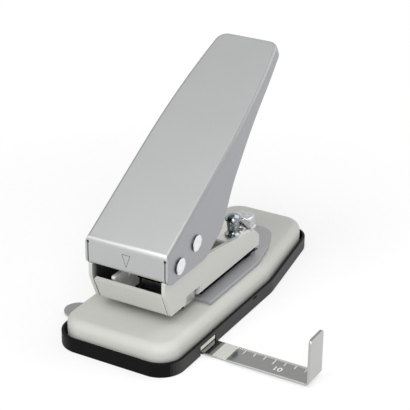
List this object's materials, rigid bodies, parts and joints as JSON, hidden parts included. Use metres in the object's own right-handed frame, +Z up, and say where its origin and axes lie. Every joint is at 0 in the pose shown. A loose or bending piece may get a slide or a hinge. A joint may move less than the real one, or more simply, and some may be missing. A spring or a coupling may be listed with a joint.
{
  "type": "slot punch",
  "caption": "Desktop card slot punch: hand lever on a steel channel drives an oblong blade through a card laid on the base, with side gauge and depth gauge.",
  "frame": {"origin": "middle of the base's flat underside, on the table", "axes": "+Z up, +Y to the rear along the base, +X towards the side gauge's stop"},
  "size_m": [0.1272, 0.1512, 0.1138],
  "materials": {
    "tray_black": "matte moulded",
    "enamel": "smooth baked enamel",
    "guide_white": "moulded",
    "tool_steel": "ground",
    "bright_chrome": "bright plated",
    "zinc": "bright zinc plated",
    "satin_silver": "satin nickel plated",
    "carriage_black": "blackened",
    "spring_steel": "drawn wire",
    "gauge_chrome": "satin plated",
    "plate_grey": "satin grey lacquer"
  },
  "bodies": {
    "base": {"base_tray": "tray_black", "base_shell": "enamel", "gauge_guide_left": "guide_white", "gauge_guide_right": "guide_white", "die_plate": "tool_steel", "riser_block": "tool_steel", "frame_channel": "enamel", "punch_guide": "tool_steel", "bridge_plate": "bright_chrome", "spacer_left": "tool_steel", "spacer_right": "tool_steel", "sleeve_left": "tool_steel", "sleeve_right": "tool_steel", "washer_left": "zinc", "washer_right": "zinc", "hex_bolt_left": "zinc", "hex_bolt_right": "zinc", "hex_nut_left": "zinc", "hex_nut_right": "zinc", "clamp_bush": "tool_steel", "pivot_rivet": "zinc", "window_bracket": "bright_chrome"},
    "lever": {"lever": "satin_silver", "drive_pin": "zinc"},
    "punch": {"punch_carriage": "carriage_black", "punch_blade": "tool_steel", "return_spring_left": "spring_steel", "return_spring_right": "spring_steel"},
    "side_gauge": {"gauge_strip": "gauge_chrome"},
    "depth_gauge": {"depth_plate": "plate_grey"},
    "clamp_screw": {"thumbscrew": "bright_chrome"}
  },
  "joints": [
    {"name": "lever_hinge", "type": "hinge", "parent": "base", "child": "lever", "pos_m": [0, -0.0511, 0.0429], "axis": [-1, 0, 0], "range_deg": [0, 25], "stiffness_Nm_per_rad": 0.9, "springref_deg": -20.05},
    {"name": "punch_slide", "type": "slide", "parent": "base", "child": "punch", "axis": [0, 0, -1], "range_m": [0, 0.0064], "deforming": ["return_spring_left", "return_spring_right"]},
    {"name": "side_gauge_slide", "type": "slide", "parent": "base", "child": "side_gauge", "axis": [1, 0, 0], "range_m": [-0.05, 0]},
    {"name": "depth_gauge_slide", "type": "slide", "parent": "base", "child": "depth_gauge", "axis": [0, 1, 0], "range_m": [-0.002, 0.004]},
    {"name": "thumbscrew_turn", "type": "hinge", "parent": "base", "child": "clamp_screw", "pos_m": [0.0138, 0.0094, 0.0304], "axis": [0, 0, 1], "range_deg": [-270, 90]}
  ],
  "couplings": [
    {"joint": "punch_slide", "follows": "lever_hinge", "m_per_rad": 0.01466}
  ]
}
